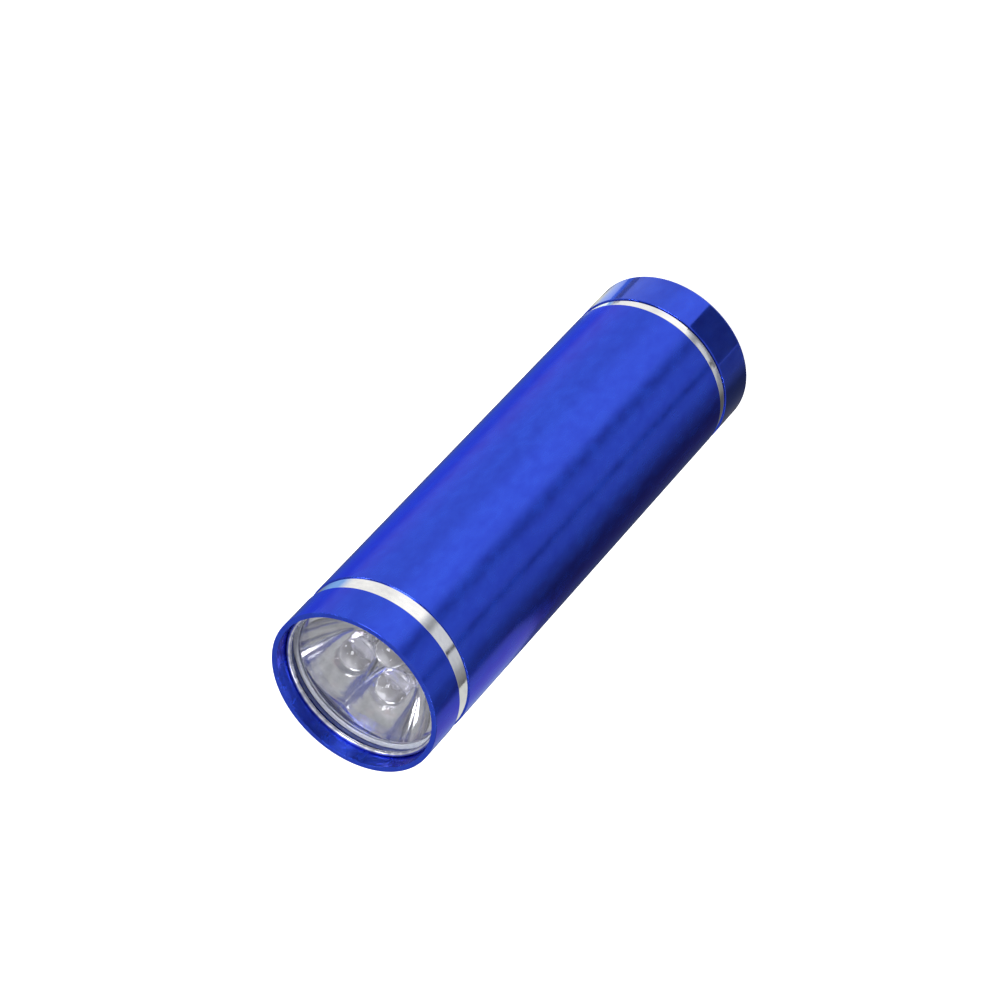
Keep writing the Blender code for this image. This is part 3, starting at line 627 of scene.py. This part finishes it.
def plain_metal(name, dark, light, size, roughness):
    """Sheet or wire metal with a patchy tarnish."""
    made = new_finish(name, light, roughness, metallic=1.0)
    tree = made.node_tree
    tarnish = grain(tree, size, detail=5.0)
    color = two_tone(tree, tarnish, dark, light)
    normal = relief(tree, grain(tree, size / 6.0), 0.003 * MM)
    return surface(made, color, rescaled(tree, tarnish, roughness * 1.4, roughness * 0.8), normal)


def moulded(name, dark, light, size, roughness, depth):
    """Moulded plastic, rubber or lacquer with a fine grain."""
    made = new_finish(name, light, roughness)
    tree = made.node_tree
    speck = grain(tree, size, detail=4.0)
    cloud = grain(tree, size * 12.0, seed=6.0)
    color = two_tone(tree, cloud, dark, light)
    sheen = rescaled(tree, speck, roughness * 0.85, roughness * 1.15)
    return surface(made, color, sheen, relief(tree, speck, depth))


def resistor_lacquer():
    """Pale lacquer with generic colour bands round the body."""
    made = new_finish("resistor_lacquer", RESISTOR_BODY, 0.35)
    tree = made.node_tree
    place = node(tree, "ShaderNodeTexCoord").outputs["Object"]
    along = node(tree, "ShaderNodeSeparateXYZ", inputs={"Vector": place}).outputs["X"]
    share = rescaled(tree, along, 0.0, 1.0, start=-RESISTOR_HALF, end=RESISTOR_HALF)
    ramp = node(tree, "ShaderNodeValToRGB", inputs={"Fac": share})
    ramp.color_ramp.interpolation = "CONSTANT"
    elements = ramp.color_ramp.elements
    elements[0].color = (*RESISTOR_BODY, 1.0)
    elements[1].position = RESISTOR_END
    elements[1].color = (*RESISTOR_BODY, 1.0)
    for start, tint in BANDS:
        elements.new(start).color = (*tint, 1.0)
        elements.new(start + BAND_WIDTH).color = (*RESISTOR_BODY, 1.0)
    speck = grain(tree, 0.2 * MM)
    color = blended(tree, rescaled(tree, speck, 0.0, 0.2), ramp.outputs["Color"], (0.5, 0.5, 0.5))
    return surface(made, color, rescaled(tree, speck, 0.28, 0.42), relief(tree, speck, 0.004 * MM))


def cell_jacket():
    """A plain green sleeve with scuffs along it."""
    made = new_finish("cell_jacket", (0.03, 0.16, 0.07), 0.32)
    tree = made.node_tree
    scuff = grain(tree, 2.0 * MM, stretch=(1.0, 1.0, 3.0), detail=5.0)
    color = two_tone(tree, scuff, (0.02, 0.11, 0.05), (0.05, 0.21, 0.10))
    return surface(made, color, rescaled(tree, scuff, 0.25, 0.42), relief(tree, scuff, 0.004 * MM))


def all_finishes():
    """Every finish by name: one for each of the record's material slots, and three of the scene's own."""
    finishes = {
        "blue_anodised": blue_anodised("blue_anodised", (0.20, 0.30), (0.05, 0.30, 1.0), coat_roughness=0.18),
        "blue_polished": blue_anodised("blue_polished", (0.13, 0.20), (0.7, 0.8, 1.0), coat_roughness=0.08),
        "bright_aluminium": bright_aluminium(),
        "clear_lens": clear_lens(),
        "lens_bead": lens_bead(),
        "lens_side_painted_reflection": lens_side_painted_reflection(),
        "silicone": silicone(),
        "metallised": metallised(),
        "epoxy": epoxy(),
        "resistor_lacquer": resistor_lacquer(),
        "cell_jacket": cell_jacket(),
    }
    for metal in METALS:
        finishes[metal[0]] = plain_metal(*metal)
    for moulding in MOULDINGS:
        finishes[moulding[0]] = moulded(*moulding)
    return finishes


# Shells


def tube(finish):
    """The tube, threaded inside both ends."""
    rear_end = TUBE_BASE + SOCKET_DEPTH
    front_end = TUBE_TOP - SOCKET_DEPTH
    threads = (
        (SOCKET_RADIUS, TUBE_BASE + SOCKET_THREAD_START, rear_end - THREAD_END_GAP),
        (SOCKET_RADIUS, front_end + THREAD_END_GAP, TUBE_TOP - SOCKET_THREAD_START),
    )
    corners = [
        (BODY_RADIUS, TUBE_TOP, SHELL_EDGE),
        (BODY_RADIUS, TUBE_BASE, SHELL_EDGE),
        (SOCKET_RADIUS, TUBE_BASE, LIP_EDGE),
        (SOCKET_RADIUS, rear_end, 0.0),
        (BORE_RADIUS, rear_end, PLAIN_EDGE),
        (BORE_RADIUS, front_end, PLAIN_EDGE),
        (SOCKET_RADIUS, front_end, 0.0),
        (SOCKET_RADIUS, TUBE_TOP, LIP_EDGE),
    ]
    piece = revolve("anodised_tube", section(corners, threads=threads), finish, threads=threads)
    return stand_for(piece, "barrel", "blue_anodised", "barrel_tube")


def bezel(finish):
    """The head's ring, neck, seal groove and threaded spigot."""
    neck_base = FRONT_RING[0]
    groove_top = neck_base - GROOVE_OFFSET
    groove_base = groove_top - GROOVE_WIDTH
    ledge = REFLECTOR_TOP - LEDGE_DEPTH
    threads = ((SPIGOT_RADIUS, SPIGOT_END_FRONT + SPIGOT_THREAD_START, groove_base - THREAD_END_GAP),)
    corners = [
        (OPENING_RADIUS, HEAD_TOP, SHELL_EDGE),
        (BODY_RADIUS, HEAD_TOP, PLAIN_EDGE),
        (BODY_RADIUS, FRONT_RING[1] + RING_GAP, SHELL_EDGE),
        (NECK_RADIUS, FRONT_RING[1] + RING_GAP, 0.0),
        (NECK_RADIUS, neck_base, NECK_EDGE),
        (SPIGOT_RADIUS, neck_base, 0.0),
        (SPIGOT_RADIUS, groove_top, SHELL_EDGE),
        (GROOVE_RADIUS, groove_top, PLAIN_EDGE),
        (GROOVE_RADIUS, groove_base, PLAIN_EDGE),
        (SPIGOT_RADIUS, groove_base, SHELL_EDGE),
        (SPIGOT_RADIUS, SPIGOT_END_FRONT, SPIGOT_EDGE),
        (MODULE_BORE_RADIUS, SPIGOT_END_FRONT, LIP_EDGE),
        (MODULE_BORE_RADIUS, TUBE_TOP, 0.0),
        (LEDGE_INNER_RADIUS, ledge, 0.0),
        (OPENING_RADIUS, ledge, 0.0),
    ]
    piece = revolve("anodised_bezel", section(corners, threads=threads), finish, threads=threads)
    return stand_for(piece, "head", "blue_anodised", "head_bezel")


def cap(finish):
    """The tail cap, with the same neck and spigot, and the button's hole."""
    neck_top = REAR_RING[1]
    groove_base = neck_top + GROOVE_OFFSET
    groove_top = groove_base + GROOVE_WIDTH
    face = 0.0
    seat_base = BOOT_FLANGE[0] - BOOT_SEAT_GAP
    seat_top = BOOT_FLANGE[1] + BOOT_SEAT_GAP
    threads = ((SPIGOT_RADIUS, groove_top + THREAD_END_GAP, SPIGOT_END_REAR - SPIGOT_THREAD_START),)
    corners = [
        (SPIGOT_RADIUS, SPIGOT_END_REAR, SPIGOT_EDGE),
        (SPIGOT_RADIUS, groove_top, SHELL_EDGE),
        (GROOVE_RADIUS, groove_top, PLAIN_EDGE),
        (GROOVE_RADIUS, groove_base, PLAIN_EDGE),
        (SPIGOT_RADIUS, groove_base, SHELL_EDGE),
        (SPIGOT_RADIUS, neck_top, 0.0),
        (NECK_RADIUS, neck_top, NECK_EDGE),
        (NECK_RADIUS, REAR_RING[0] - RING_GAP, 0.0),
        (BODY_RADIUS, REAR_RING[0] - RING_GAP, SHELL_EDGE),
        (BODY_RADIUS, face, TAIL_EDGE),
        (BUTTON_HOLE_RADIUS, face, BUTTON_HOLE_EDGE),
        (BUTTON_HOLE_RADIUS, seat_base, 0.0),
        (BOOT_SEAT_RADIUS, seat_base, 0.0),
        (BOOT_SEAT_RADIUS, seat_top, 0.0),
        (TAIL_BORE_RADIUS, seat_top, 0.0),
        (TAIL_BORE_RADIUS, SPIGOT_END_REAR, LIP_EDGE),
    ]
    piece = revolve("anodised_tail_cap", section(corners, threads=threads), finish, threads=threads)
    return stand_for(piece, "tail", "blue_anodised", "tail_cap")


def cut_ring(name, span, base_fillet, node_name, body, finish):
    """A bright ring with rounded edges."""
    base, top = span
    corners = [
        (RING_RADIUS, top, LIP_EDGE),
        (RING_RADIUS, base, base_fillet),
        (NECK_RADIUS + RING_GAP, base, 0.0),
        (NECK_RADIUS + RING_GAP, top, 0.0),
    ]
    piece = revolve(name, section(corners), finish)
    return stand_for(piece, body, "bright_aluminium", node_name)


def seal(name, node_name, body, finish):
    """A round rubber ring in a spigot's groove."""
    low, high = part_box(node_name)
    rows = hoop(SEAL_RADIUS, (low.z + high.z) / 2.0, SEAL_THICKNESS / 2.0, SEAL_STEPS)
    return stand_for(revolve(name, rows, finish), body, "black_rubber", node_name)


def boot(finish):
    """The rubber boot: a low dome with a moulded ring, a side wall and a clamped flange.

    The outline starts under the dome's middle and comes back to its top.
    """
    flange_base, flange_top = BOOT_FLANGE
    corners = [
        (0.0, 1.5 * MM, 0.0),
        (3.0 * MM, 1.62 * MM, 0.0),
        (4.4 * MM, 1.9 * MM, 0.3 * MM),
        (BOOT_INNER_RADIUS, 2.3 * MM, 0.2 * MM),
        (BOOT_INNER_RADIUS, flange_top, 0.0),
        (BOOT_FLANGE_RADIUS, flange_top, PLAIN_EDGE),
        (BOOT_FLANGE_RADIUS, flange_base, PLAIN_EDGE),
        (BOOT_WALL_RADIUS, flange_base, PLAIN_EDGE),
        (BOOT_WALL_RADIUS, BOOT_SHOULDER, 0.25 * MM),
        (5.3 * MM, 0.95 * MM, 0.3 * MM),
        (4.5 * MM, 0.85 * MM, 0.0),
        (4.35 * MM, 0.66 * MM, 0.05 * MM),
        (4.05 * MM, 0.66 * MM, 0.05 * MM),
        (3.9 * MM, 0.80 * MM, 0.0),
        (3.0 * MM, 0.72 * MM, 0.3 * MM),
        (1.5 * MM, 0.63 * MM, 0.3 * MM),
        (0.0, BOOT_TOP, 0.0),
    ]
    piece = revolve("rubber_boot", section(corners, closed=False), finish, closed=False, steps=BOOT_STEPS)
    stand_for(piece, "tail", "black_rubber", "button_boot")
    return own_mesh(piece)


def return_spring(finish):
    """The push switch's coil spring."""
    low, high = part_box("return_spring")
    start = low.z + SPRING_WIRE_RADIUS
    rise = high.z - low.z - 2.0 * SPRING_WIRE_RADIUS
    count = SPRING_TURNS * SPRING_STEPS
    work = bmesh.new()
    rings = []
    for i in range(count + 1):
        angle = 2.0 * math.pi * i / SPRING_STEPS
        ring = []
        for j in range(WIRE_STEPS):
            tilt = 2.0 * math.pi * j / WIRE_STEPS
            reach = SPRING_RADIUS + SPRING_WIRE_RADIUS * math.cos(tilt)
            height = start + rise * i / count + SPRING_WIRE_RADIUS * math.sin(tilt)
            ring.append(work.verts.new((reach * math.cos(angle), reach * math.sin(angle), height)))
        rings.append(ring)
    for first, second in zip(rings, rings[1:]):
        join_rings(work, first, second)
    work.faces.new(rings[0])
    work.faces.new(rings[-1])
    bmesh.ops.recalc_face_normals(work, faces=work.faces)
    piece = finished_mesh("wound_return_spring", work, finish)
    stand_for(piece, "tail", "spring_steel", "return_spring")
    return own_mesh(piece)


# Inside the head


def lens(finish, painted_reflection_finish):
    """The clear disc, with a painted reflection of the anodised wall on its side."""
    corners = [
        (0.0, LENS_TOP, 0.0),
        (STACK_RADIUS, LENS_TOP, LENS_FRONT_EDGE),
        (STACK_RADIUS, LENS_BASE, PLAIN_EDGE),
        (0.0, LENS_BASE, 0.0),
    ]
    piece = revolve("clear_lens_disc", section(corners, closed=False), finish, closed=False)
    # The side faces get a second finish: the dark blue painted reflection of the anodised wall.
    piece.data.materials.append(painted_reflection_finish)
    for face in piece.data.polygons:
        face.material_index = int(abs(face.normal.z) < LENS_SIDE)
    piece.visible_shadow = False
    return stand_for(piece, "head", "clear_lens", "front_lens")


def snap_bead(finish):
    """The silvery round bead above the lens's edge."""
    radius = OPENING_RADIUS - BEAD_RADIUS - BEAD_CLEARANCE
    rows = hoop(radius, LENS_TOP + BEAD_LIFT, BEAD_RADIUS, BEAD_STEPS)
    return stand_for(revolve("lens_edge_bead", rows, finish), "head", "clear_lens")


def gasket(finish):
    """The pale ring between the lens and the reflector's rim."""
    base, top = GASKET
    corners = [
        (STACK_RADIUS, top, GASKET_EDGE),
        (STACK_RADIUS, base, GASKET_EDGE),
        (GASKET_INNER_RADIUS, base, GASKET_EDGE),
        (GASKET_INNER_RADIUS, top, GASKET_EDGE),
    ]
    piece = revolve("silicone_gasket", section(corners), finish)
    return stand_for(piece, "head", "silicone", "lens_gasket")


def cup_height(radius):
    """The height of a parabolic cup's wall at a distance from the cup's own axis."""
    return REFLECTOR_TOP - (CUP_RADIUS**2 - radius**2) / (4.0 * CUP_FOCAL_LENGTH)


def led_place(index):
    """Where one LED's axis crosses a level plane."""
    angle = LED_FIRST_ANGLE + index * 2.0 * math.pi / LED_COUNT
    return LED_PITCH_RADIUS * math.cos(angle), LED_PITCH_RADIUS * math.sin(angle)


def cups(finish):
    """The reflector: a turned body with three overlapping parabolic cups cut into it."""
    flange_base = REFLECTOR_TOP - REFLECTOR_FLANGE
    corners = [
        (0.0, REFLECTOR_TOP, 0.0),
        (STACK_RADIUS, REFLECTOR_TOP, PLAIN_EDGE),
        (STACK_RADIUS, flange_base, 0.0),
        (LEDGE_INNER_RADIUS - REFLECTOR_CLEARANCE, flange_base, 0.0),
        (MODULE_RADIUS, REFLECTOR_SHOULDER, 0.0),
        (MODULE_RADIUS, REFLECTOR_BASE, PLAIN_EDGE),
        (0.0, REFLECTOR_BASE, 0.0),
    ]
    body = revolve("metallised_cups", section(corners, closed=False), finish, closed=False)
    for index in range(LED_COUNT):
        carve(body, cup_cutter(index, finish))
    soften = body.modifiers.new("Ridges", "BEVEL")
    soften.width = RIDGE_WIDTH
    soften.segments = RIDGE_SEGMENTS
    soften.limit_method = "ANGLE"
    soften.angle_limit = RIDGE_ANGLE
    body.data.shade_smooth()
    return stand_for(body, "head", "metallised", "reflector")


def cup_cutter(index, finish):
    """The solid that is cut away for one cup: its parabola, and the LED's hole below it."""
    widest = CUP_RADIUS + CUP_RIM_OVERRUN
    wall = [(0.0, cup_height(widest), 0.0)]
    for i in range(CUP_WALL_POINTS + 1):
        radius = widest + (CUP_HOLE_RADIUS - widest) * i / CUP_WALL_POINTS
        wall.append((radius, cup_height(radius), 0.0))
    below = REFLECTOR_BASE - CUP_BASE_OVERRUN
    wall += [(CUP_HOLE_RADIUS, below, 0.0), (0.0, below, 0.0)]
    name = f"cup_cutter_{index + 1}"
    return revolve(name, wall, finish, closed=False, steps=CUP_STEPS, place=led_place(index))


def carve(body, cutter):
    """Cuts one object out of another for good."""
    boolean = body.modifiers.new("Carve", "BOOLEAN")
    boolean.operation = "DIFFERENCE"
    boolean.solver = "EXACT"
    boolean.object = cutter
    bpy.context.view_layer.update()
    carved = bpy.data.meshes.new_from_object(body.evaluated_get(bpy.context.evaluated_depsgraph_get()))
    body.modifiers.clear()
    body.data = carved
    bpy.data.objects.remove(cutter, do_unlink=True)


def dome(index, finish):
    """The clear epoxy body of one LED."""
    dome_base = LED_TOP - LED_RADIUS
    flange_top = LED_BASE + LED_FLANGE_HEIGHT
    rows = []
    for i in range(DOME_ARC_STEPS + 1):
        angle = math.pi / 2.0 * (1.0 - i / DOME_ARC_STEPS)
        reach = LED_RADIUS * math.cos(angle) if i else 0.0
        rows.append((reach, dome_base + LED_RADIUS * math.sin(angle), 0.0))
    rows += [
        (LED_RADIUS, flange_top + SUPPORT, 0.0),
        (LED_RADIUS, flange_top, 0.0),
        (LED_FLANGE_RADIUS, flange_top, 0.0),
        (LED_FLANGE_RADIUS, LED_BASE, 0.0),
        (0.0, LED_BASE, 0.0),
    ]
    name = f"epoxy_dome_{index + 1}"
    piece = revolve(name, rows, finish, closed=False, steps=DOME_STEPS, place=led_place(index))
    piece.visible_shadow = False
    return stand_for(piece, "head", "epoxy", f"led_{index + 1}_lens")


def die_cup(index, finish):
    """The small dish on the wide lead that holds the LED's die."""
    base = DIE_SEAT + DIE_CUP_GAP
    rim = base + DIE_CUP_HEIGHT
    corners = [
        (0.0, base + DIE_CUP_FLOOR, 0.0),
        (DIE_CUP_FLOOR_RADIUS, base + DIE_CUP_FLOOR, 0.0),
        (DIE_CUP_RIM_RADIUS, rim, DIE_CUP_EDGE),
        (DIE_CUP_RADIUS, rim, DIE_CUP_EDGE),
        (DIE_CUP_RADIUS, base, 0.0),
        (0.0, base, 0.0),
    ]
    name = f"die_cup_{index + 1}"
    rows = section(corners, closed=False)
    piece = revolve(name, rows, finish, closed=False, steps=DIE_CUP_STEPS, place=led_place(index))
    return stand_for(piece, "head", "tinned_lead")


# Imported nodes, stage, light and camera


def dress_nodes(finishes):
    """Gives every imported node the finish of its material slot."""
    slots = {entry["node"]: entry["material_slot"] for entry in frame["record"]["subparts"]}
    for name, thing in frame["nodes"].items():
        thing.data.materials.clear()
        thing.data.materials.append(finishes[slots[name]])


def floor():
    """A plain white floor with a glow of its own, which reflections don't see."""
    finish = new_finish("floor", (0.86, 0.86, 0.86), 0.9)
    shader = finish.node_tree.nodes["Principled BSDF"]
    shader.inputs["Specular IOR Level"].default_value = 0.0
    shader.inputs["Emission Color"].default_value = (1.0, 1.0, 1.0, 1.0)
    shader.inputs["Emission Strength"].default_value = FLOOR_GLOW
    work = bmesh.new()
    corners = []
    for x, y in ((-1, -1), (1, -1), (1, 1), (-1, 1)):
        corners.append(work.verts.new((x * FLOOR_HALF, y * FLOOR_HALF, FLOOR_HEIGHT)))
    work.faces.new(corners)
    thing = finished_mesh("floor", work, finish)
    thing.visible_glossy = False
    thing.visible_shadow = False


def flag(name, turns, heights, level):
    """A dark curved card that only reflections see."""
    work = bmesh.new()
    low = []
    high = []
    for i in range(FLAG_STEPS + 1):
        angle = math.radians(turns[0] + (turns[1] - turns[0]) * i / FLAG_STEPS)
        x = FLAG_REACH * math.cos(angle)
        y = FLAG_REACH * math.sin(angle)
        low.append(work.verts.new((x, y, heights[0])))
        high.append(work.verts.new((x, y, heights[1])))
    for i in range(FLAG_STEPS):
        work.faces.new((low[i], low[i + 1], high[i + 1], high[i]))
    thing = finished_mesh(name, work, new_finish(name, (level,) * 3, 0.9))
    thing.visible_camera = False
    thing.visible_diffuse = False
    thing.visible_shadow = False
    thing.visible_transmission = False


def studio():
    """A world of brighter and darker panels round the horizon, which blend into an even sky above."""
    world = bpy.data.worlds.new("studio")
    bpy.context.scene.world = world
    world.use_nodes = True
    tree = world.node_tree
    direction = node(tree, "ShaderNodeTexCoord").outputs["Generated"]
    parts = node(tree, "ShaderNodeSeparateXYZ", inputs={"Vector": direction}).outputs
    turn = node(tree, "ShaderNodeMath", {"operation": "ARCTAN2"}, {0: parts["Y"], 1: parts["X"]})
    along = rescaled(tree, turn.outputs["Value"], 0.0, 1.0, start=-math.pi, end=math.pi)
    ramp = node(tree, "ShaderNodeValToRGB", inputs={"Fac": along})
    elements = ramp.color_ramp.elements
    while len(elements) > 1:
        elements.remove(elements[-1])
    for i, (degrees, level, tint) in enumerate(PANELS):
        place = (degrees + 180.0) / 360.0
        element = elements[0] if i == 0 else elements.new(place)
        element.position = place
        element.color = (*(level * share for share in tint), 1.0)
    upward = rescaled(tree, parts["Z"], 0.0, 1.0, *HORIZON_BLEND)
    light = blended(tree, upward, ramp.outputs["Color"], (SKY_LEVEL,) * 3)
    background = tree.nodes["Background"]
    tree.links.new(light, background.inputs["Color"])


def softbox(name, place, size, power, color):
    """A soft rectangular light aimed at the middle of the lamp."""
    data = bpy.data.lights.new(name, "AREA")
    data.shape = "RECTANGLE"
    data.size, data.size_y = size
    data.energy = power
    data.color = color
    thing = bpy.data.objects.new(name, data)
    thing.location = place
    thing.rotation_mode = "QUATERNION"
    aim = Vector((0.0, 0.0, HEAD_TOP / 2.0)) - Vector(place)
    thing.rotation_quaternion = aim.to_track_quat("-Z", "Y")
    thing.visible_camera = False
    bpy.context.scene.collection.objects.link(thing)


def camera():
    """The camera, rolled so that the standing lamp lies across the picture."""
    data = bpy.data.cameras.new("camera")
    data.lens = CAMERA_LENS
    data.sensor_width = CAMERA_SENSOR
    data.clip_start = CAMERA_NEAR
    thing = bpy.data.objects.new("camera", data)
    thing.location = CAMERA_PLACE
    thing.rotation_mode = "QUATERNION"
    level = (CAMERA_AIM - CAMERA_PLACE).to_track_quat("-Z", "Y")
    thing.rotation_quaternion = level @ Quaternion((0.0, 0.0, 1.0), CAMERA_ROLL)
    bpy.context.scene.collection.objects.link(thing)
    bpy.context.scene.camera = thing


def main():
    """Builds the whole scene."""
    finishes = all_finishes()
    dress_nodes(finishes)
    tube(finishes["blue_anodised"])
    bezel(finishes["blue_anodised"])
    cap(finishes["blue_polished"])
    front_span = (TUBE_TOP + PARTING, FRONT_RING[1])
    bright = finishes["bright_aluminium"]
    cut_ring("cut_ring_front", front_span, FRONT_RING_EDGE, "front_trim_ring", "head", bright)
    cut_ring("cut_ring_rear", REAR_RING, LIP_EDGE, "rear_trim_ring", "tail", bright)
    seal("rubber_seal_front", "head_o_ring", "head_seal", finishes["black_rubber"])
    seal("rubber_seal_rear", "tail_o_ring", "tail_seal", finishes["black_rubber"])
    boot(finishes["black_rubber"])
    return_spring(finishes["spring_steel"])
    lens(finishes["clear_lens"], finishes["lens_side_painted_reflection"])
    snap_bead(finishes["lens_bead"])
    gasket(finishes["silicone"])
    cups(finishes["metallised"])
    for index in range(LED_COUNT):
        dome(index, finishes["epoxy"])
        die_cup(index, finishes["tinned_lead"])
    floor()
    for card in FLAGS:
        flag(*card)
    studio()
    for light in LIGHTS:
        softbox(*light)
    camera()
    bpy.context.scene.view_settings.view_transform = "Standard"


main()
